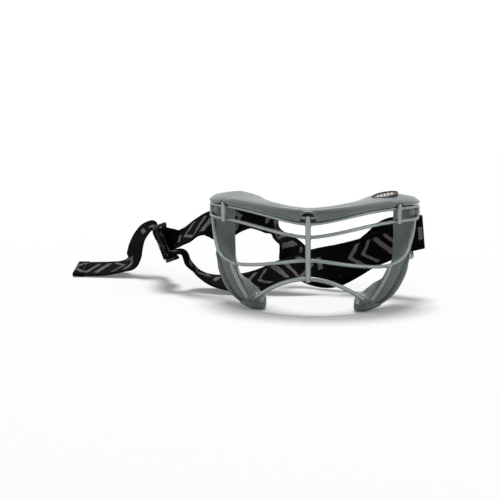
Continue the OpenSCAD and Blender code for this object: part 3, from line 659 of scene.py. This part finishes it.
# The strap's route, from the lower leg to the tail. Each row is a centre point, a direction across the band,
# and the share of the width that is left where the band gathers.
LEG_ROWS = [
    row(on_slider(LEG_START, 0, LEG_N), -turned(0)),
    row(on_slider(LEG_START + 2, -0.02, LEG_N + 0.2), -turned(0)),
    row(on_slider(LEG_START + 4, -0.4, LEG_N + 0.6), -turned(6), 0.95),
    row(on_slider(LEG_START + 6.8, -1.3, LEG_N + 1.1), -turned(22), 0.8),
    row(on_slider(LEG_START + 9.6, -3, LEG_N + 1.4), -turned(38), 0.62),
    row(on_slider(LEG_START + 11.6, -5.6, LEG_N + 1.3), -turned(56), 0.5),
    row(on_slider(LEG_START + 12.6, -10, LEG_N + 0.4), -turned(70), 0.43),
    (-106, 56, 30.1, 0.05, 1, 0.04, 0.42),
    (-102.3, 58.5, 22, 0.12, 0.99, -0.04, 0.44),
    (-98.1, 61, 16.5, 0, 1, -0.08, 0.5),
    (-93.3, 61, 12.7, 0.01, 1, -0.02, 0.6),
    (-81.9, 58, 8.9, 0.08, 0.99, 0.13, 0.85),
    (-69.9, 55, 7.8, 0.05, 0.96, 0.26, 1),
]
RETURN_ROWS = [
    (-56.5, 54, 7.2, -0.15, 0.88, 0.43, 1),
    (-43.6, 54, 9.9, -0.2, 0.84, 0.51, 1),
    (-28.5, 55, 16.7, -0.27, 0.84, 0.48, 1),
    (-4, 56, 22.2, -0.26, 0.51, 0.82, 1),
    (19.3, 56.5, 26.8, -0.21, 0.1, 0.98, 1),
    (39, 55, 32.6, -0.25, 0, 0.97, 1),
]
RETURN_ROWS += by_bar(1, [(-18.4, 3.2, -12, -0.33, 0, 0.94, 1)])
WRAP_ROWS = by_bar(1, [
    (-8.4, -1.3, -6.2, -0.3, 0, 0.95, 1),
    (-2.9, -4.1, -3.7, -0.24, 0, 0.97, 1),
    (3.6, -4.1, -2, -0.16, 0, 0.99, 1),
    (8, -1.2, -1.5, -0.1, 0, 0.99, 1),
    (8, 3.4, -1.3, -0.08, 0, 0.99, 1),
    (4.1, 6.2, -1.3, -0.06, 0, 1, 1),
])
CROSS_ROWS = by_bar(1, [
    (-2.4, 7.6, -1.8, -0.1, 0, 1, 1),
    (-10.4, 9.7, -3.2, -0.25, 0, 0.97, 1),
])
CROSS_ROWS += [
    (55.5, 61, 46, -0.6, 0, 0.8, 1),
    (47.5, 62.5, 38, -0.66, 0, 0.75, 1),
    (34.4, 65, 27.2, -0.55, 0, 0.84, 1),
    (13, 68.5, 14.6, -0.5, 0.1, 0.86, 1),
]
TURN_ROWS = [
    (-3, 74, 14.6, -0.15, 0.2, 0.96, 1),
    (-13.5, 78.5, 20, 0.4, 0.4, 0.8, 1),
    (-21.5, 80.5, 27.5, 0.8, 0.55, 0.2, 1),
    (-27, 79, 35, 0.35, 0.93, 0.05, 1),
    (-31, 76.5, 42, -0.02, 0.98, 0.1, 1),
    (-33, 72.5, 49, 0, 0.7, 0.7, 1),
]
INNER_ROWS = [
    (-35, 68.5, 55.5, 0, 0.25, 0.97, 1),
    (-43, 64.5, 60, 0, 0.05, 1, 1),
]
INNER_ROWS += by_bar(-1, [
    (22.4, 10.2, 10.3, 0, 0, 1, 1),
    (12.9, 5, 7.9, 0, 0, 1, 1),
    (5.4, -0.2, 4.2, 0, 0.04, 1, 1),
])
RUN_ROWS = by_bar(-1, [
    (-0.4, -4.8, 3, 0, 0.06, 1, 0.98),
    (-4.8, -5.4, 3.9, 0, 0.36, 0.93, 0.88),
    (-9.4, -3.6, 4.1, 0, 0.7, 0.71, 0.87),
    (-16, -0.4, 1.4, 0, 0.84, 0.54, 0.92),
])
RUN_ROWS += [
    (-98, 52.5, 48, -0.1, 0.88, 0.45, 0.95),
    (-104.5, 55, 43.8, -0.12, 0.86, 0.45, 0.8),
    (-109.8, 58, 41, -0.15, 0.7, 0.7, 0.62),
    (-114, 62, 39.6, -0.25, 0.4, 0.87, 0.7),
    (-116.4, 65.6, 38.2, -0.34, 0.12, 0.92, 0.88),
    row(on_slider(10), SLIDER_W),
    row(on_slider(0), SLIDER_W),
    row(on_slider(-11), SLIDER_W),
    row(on_slider(STRAIGHT_LOW), SLIDER_W),
]
TAIL_ROWS = [
    row(on_slider(STRAIGHT_LOW - 4.6, 0.1), SLIDER_W, 0.9),
    row(on_slider(STRAIGHT_LOW - 9.2, 1.2), -turned(162), 0.58),
    row(on_slider(STRAIGHT_LOW - 12.6, 4.6), -turned(130), 0.44),
    row(on_slider(STRAIGHT_LOW - 13.6, 9.6), -turned(98), 0.42),
    (-136.4, 112, 40.9, -0.22, 0.95, 0.12, 0.5),
    (-140.1, 111.9, 42.1, -0.12, 0.93, 0.33, 0.62),
    (-145.5, 111, 38.7, -0.41, 0.89, 0.2, 0.8),
    (-149.8, 110, 32.8, -0.5, 0.87, 0.05, 0.92),
    (-153.1, 110, 24.3, -0.56, 0.83, 0, 1),
    (-155, 110, 17.4, -0.6, 0.8, -0.05, 1),
    (-158.2, 110, 10.8, -0.56, 0.83, -0.04, 1),
    (-165.4, 110, 7.2, -0.42, 0.9, 0.06, 1),
    (-175.5, 110, 5.4, -0.28, 0.94, 0.18, 1),
    (-185.4, 110, 4.7, -0.24, 0.94, 0.22, 1),
    (-195.2, 110.1, 4.5, -0.22, 0.95, 0.22, 1),
]
HEM_ROW = (-204.6, 110.2, 4.6, -0.21, 0.96, 0.2, 1)
STRAP_STEPS = 6


def band_frames(rows):
    """For each row its matrix, with X across the band, Y through it and Z along it, its share of the width,
    and the length of strap before it."""
    points = [Vector(r[:3]) for r in rows]
    last = len(rows) - 1
    frames = []
    length = 0
    for k, r in enumerate(rows):
        along = (points[min(k + 1, last)] - points[max(k - 1, 0)]).normalized()
        side = Vector(r[3:6])
        across = (side - side.dot(along) * along).normalized()
        face = along.cross(across)
        length += (points[k] - points[k - 1]).length if k else 0
        turn = Matrix((across, face, along)).transposed().to_4x4()
        frames.append((Matrix.Translation(points[k] * MM) @ turn, r[6], length))
    return frames


COLUMNS = 12
# How far the band's middle would rise out of its edges' plane if it gathered to nothing, in millimetres.
GATHER_RISE = 5
EDGE_ROUNDING = 0.45


def band(name, frames, body, nodes_replaced, thickness=STRAP_T):
    """A woven band drawn along its frames: one row of points, extruded from place to place."""
    bm = bmesh.new()
    uv = bm.loops.layers.uv.new("UVMap")
    across = [j / COLUMNS for j in range(COLUMNS + 1)]
    wide = STRAP_WIDTH * MM
    table = {}

    def lay(line, place):
        matrix, share, length = place
        for vert, u in zip(line, across):
            bow = GATHER_RISE * (1 - share) * MM * (1 - (2 * u - 1) ** 2)
            vert.co = matrix @ Vector(((u - 0.5) * wide * share, bow, 0))
            table[vert] = (u, length / STRAP_WIDTH)

    line = [bm.verts.new((u, 0, 0)) for u in across]
    lay(line, frames[0])
    edges = [bm.edges.new(pair) for pair in zip(line, line[1:])]
    for place in frames[1:]:
        line, edges = drawn_on(bm, line, edges)
        lay(line, place)
    for face in bm.faces:
        for loop in face.loops:
            loop[uv].uv = table[loop.vert]
    made = piece(name, bm, ELASTIC, body, nodes_replaced)
    wall = made.modifiers.new("thickness", "SOLIDIFY")
    wall.thickness = thickness * MM
    wall.offset = 0
    edge = made.modifiers.new("soft_edges", "BEVEL")
    edge.width = EDGE_ROUNDING * MM
    edge.segments = 2
    edge.limit_method = "ANGLE"
    edge.angle_limit = math.radians(50)
    return made


BODY_ROWS = RETURN_ROWS + WRAP_ROWS + CROSS_ROWS + TURN_ROWS + INNER_ROWS + RUN_ROWS + TAIL_ROWS
ALL_FRAMES = band_frames(smooth_rows(LEG_ROWS + BODY_ROWS + [HEM_ROW], STRAP_STEPS))
LEG_END = len(LEG_ROWS) * STRAP_STEPS
HEM_START = (len(LEG_ROWS) + len(BODY_ROWS) - 1) * STRAP_STEPS

MAIN_NODES = [
    "strap_return_run",
    "strap_right_wrap",
    "strap_cross_run",
    "strap_back_turn",
    "strap_inner_run",
    "strap_adjuster_run",
    "strap_tail",
]

leg = band("strap_leg", ALL_FRAMES[: LEG_END + 1], None, ["strap_lower_leg"])
main = band("strap_band", ALL_FRAMES[LEG_END : HEM_START + 1], "frame", MAIN_NODES)
hem = band("strap_hem", ALL_FRAMES[HEM_START:], "frame", ["strap_tail_hem"], thickness=2 * STRAP_T)

# Sewn end: round the slider's middle bar and back on itself. EYE_R is from the bar's middle to the band's,
# and LAYER from the middle of the sewn stack to the middle of each of its two layers.
BAR_N = 4.5
BAR_R = 1.5
BAR_GAP = 0.2
EYE_R = BAR_R + BAR_GAP + STRAP_T / 2
LAYER = STRAP_T / 2 + 0.05
SEWN_START_U = 4
SEWN_END_U = 8.4
SEWN_SEAMS_U = (5.2, 7.4)
EYE_TURNS = [math.radians(a) for a in range(60, 301, 15)]
sewn_route = [(SEWN_END_U, LAYER), (SEWN_START_U, LAYER)]
sewn_route += [(EYE_R * math.cos(a), EYE_R * math.sin(a)) for a in EYE_TURNS]
sewn_route += [(SEWN_START_U, -LAYER), (SEWN_END_U, -LAYER)]
SEWN_FRAMES = band_frames([row(on_slider(u, 0, BAR_N + n), SLIDER_W) for u, n in sewn_route])
sewn = band("strap_sewn_loop", SEWN_FRAMES, "slider", ["strap_sewn_end"])

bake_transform(leg)


# Seams: straight rows of stitches across the band. STITCH has a stitch's half width, height and length.
SEAM_REACH = 11.5
SEAM_STITCHES = 10
STITCH = (0.3, 0.22, 0.95)


def seam(bm, matrix, lift):
    """A row of stitches across a band's frame, at a height over its middle in millimetres."""
    for i in range(SEAM_STITCHES):
        x = SEAM_REACH * (2 * (i + 0.5) / SEAM_STITCHES - 1)
        place = matrix @ Matrix.Translation(mm(x, lift, 0)) @ Matrix.Rotation(math.radians(90), 4, "Y")
        shape = place @ Matrix.Diagonal((*mm(*STITCH), 1))
        bmesh.ops.create_uvsphere(bm, u_segments=8, v_segments=6, radius=1, matrix=shape)


def hem_stitches():
    """Two seams on each face of the hem."""
    bm = bmesh.new()
    for k in (HEM_START + 1, len(ALL_FRAMES) - 2):
        for lift in (-STRAP_T, STRAP_T):
            seam(bm, ALL_FRAMES[k][0], lift)
    piece("hem_stitches", bm, THREAD, "frame")


def sewn_end_stitches():
    """Two seams on each face of the sewn end, which close it behind the slider's bar."""
    bm = bmesh.new()
    turn = Matrix((SLIDER_W, SLIDER_N, SLIDER_U)).transposed().to_4x4()
    for u in SEWN_SEAMS_U:
        for lift in (-2 * LAYER, 2 * LAYER):
            seam(bm, Matrix.Translation(on_slider(u, 0, BAR_N) * MM) @ turn, lift)
    piece("sewn_end_stitches", bm, THREAD, "slider")


hem_stitches()
sewn_end_stitches()

softened("slider", "slider_moulded", NYLON, 0.35, body="slider")

# Badge: a glossy field in a raised rim, with a generic mark of slanted bars.
BADGE = (
    Matrix.Translation(mm(54.8, 18.5, 83.5))
    @ Matrix.Rotation(math.radians(-6), 4, "Y")
    @ Matrix.Rotation(math.radians(8), 4, "X")
    @ Matrix.Rotation(math.radians(24), 4, "Z")
)
# The mark's height over the badge's middle, its thickness and its slant. Each bar has its place along the
# badge, its length across it and its width.
MARK_Z = 1.22
MARK_T = 0.14
MARK_SLANT = 0.35
BADGE_BARS = (
    (-5.6, 4.4, 1.5),
    (-2.9, 6.6, 1.5),
    (-0.2, 7.4, 1.5),
    (2.5, 6.6, 1.5),
    (5.4, 4.4, 2.2),
)
softened("badge_plate", "badge_field", badge_enamel(), 0.2)
softened("badge_rim", "badge_surround", badge_moulding(), 0.22)


def badge_mark():
    """The bars of the mark, printed thick enough to stand out of the field."""
    bm = bmesh.new()
    lean = Matrix.Identity(4)
    lean[0][1] = MARK_SLANT
    for x, tall, wide in BADGE_BARS:
        place = BADGE @ Matrix.Translation(mm(x, 0, MARK_Z))
        shape = place @ lean @ Matrix.Diagonal((*mm(wide, tall, MARK_T), 1))
        bmesh.ops.create_cube(bm, size=1, matrix=shape)
    bmesh.ops.bevel(
        bm, geom=bm.edges[:], offset=0.05 * MM, segments=2, profile=0.5, affect="EDGES", material=-1
    )
    piece("badge_mark", bm, badge_print(), "frame")


badge_mark()


# Studio: a white floor that keeps the shadow, a soft key light from above and behind, and a weak front fill.
# FLOOR_LIFT is what the camera sees added to the floor, and AMBIENT is how much the white world lights.
FLOOR_LIFT = 0.16
AMBIENT = 0.18


def matt_sheet(name, colour, size, place, lift):
    """A flat matt piece of the studio; the lift is added to it for the camera alone."""
    bm = bmesh.new()
    bmesh.ops.create_grid(bm, x_segments=1, y_segments=1, size=size, matrix=place)
    mesh = bpy.data.meshes.new(name)
    bm.to_mesh(mesh)
    bm.free()
    material = bpy.data.materials.new("matt_" + name)
    material.use_nodes = True
    tree = material.node_tree
    tree.nodes.clear()
    seen = add(tree, "ShaderNodeLightPath").outputs["Is Camera Ray"]
    strength = add(tree, "ShaderNodeMath", {0: seen, 1: lift}, operation="MULTIPLY").outputs[0]
    glow = add(tree, "ShaderNodeEmission", {"Color": (1, 1, 1, 1), "Strength": strength}).outputs[0]
    matt = add(tree, "ShaderNodeBsdfDiffuse", {"Color": paint(colour)}).outputs[0]
    both = add(tree, "ShaderNodeAddShader", {0: matt, 1: glow}).outputs[0]
    add(tree, "ShaderNodeOutputMaterial", {"Surface": both})
    mesh.materials.append(material)
    sheet = bpy.data.objects.new(name, mesh)
    scene.collection.objects.link(sheet)
    return sheet


def dark_card():
    """A card behind the camera, so that what faces the camera has darker reflections than what faces up."""
    place = Matrix.Translation((0.3, -2.2, 1)) @ Matrix.Rotation(math.radians(90), 4, "X")
    card = matt_sheet("dark_card", "#3A3A3A", 1.1, place, 0)
    card.visible_camera = False


def studio_world():
    """A world that lights weakly, and that the camera, gloss and glass see as white."""
    world = bpy.data.worlds.new("studio")
    world.use_nodes = True
    scene.world = world
    tree = world.node_tree
    tree.nodes.clear()
    path = add(tree, "ShaderNodeLightPath").outputs
    seen = path["Is Camera Ray"]
    for ray in ("Is Glossy Ray", "Is Transmission Ray"):
        seen = add(tree, "ShaderNodeMath", {0: seen, 1: path[ray]}, operation="MAXIMUM").outputs[0]
    strength = add(
        tree, "ShaderNodeMapRange", {"Value": seen, "To Min": AMBIENT, "To Max": 1.0}
    ).outputs["Result"]
    glow = add(tree, "ShaderNodeBackground", {"Color": (1, 1, 1, 1), "Strength": strength}).outputs[0]
    add(tree, "ShaderNodeOutputWorld", {"Surface": glow})


def sun(name, aim_from, strength, spread):
    """A lamp that shines from a direction; its spread in degrees softens the shadows."""
    data = bpy.data.lights.new(name, "SUN")
    data.energy = strength
    data.angle = math.radians(spread)
    lamp = bpy.data.objects.new(name, data)
    lamp.matrix_world = Vector(aim_from).to_track_quat("Z", "Y").to_matrix().to_4x4()
    scene.collection.objects.link(lamp)


matt_sheet("studio_floor", "#F4F4F4", 40, Matrix.Identity(4), FLOOR_LIFT)
dark_card()
studio_world()
sun("key_light", (-0.05, 0.26, 1), 2.3, 24)
sun("front_fill", (0.3, -1, 0.6), 0.5, 60)
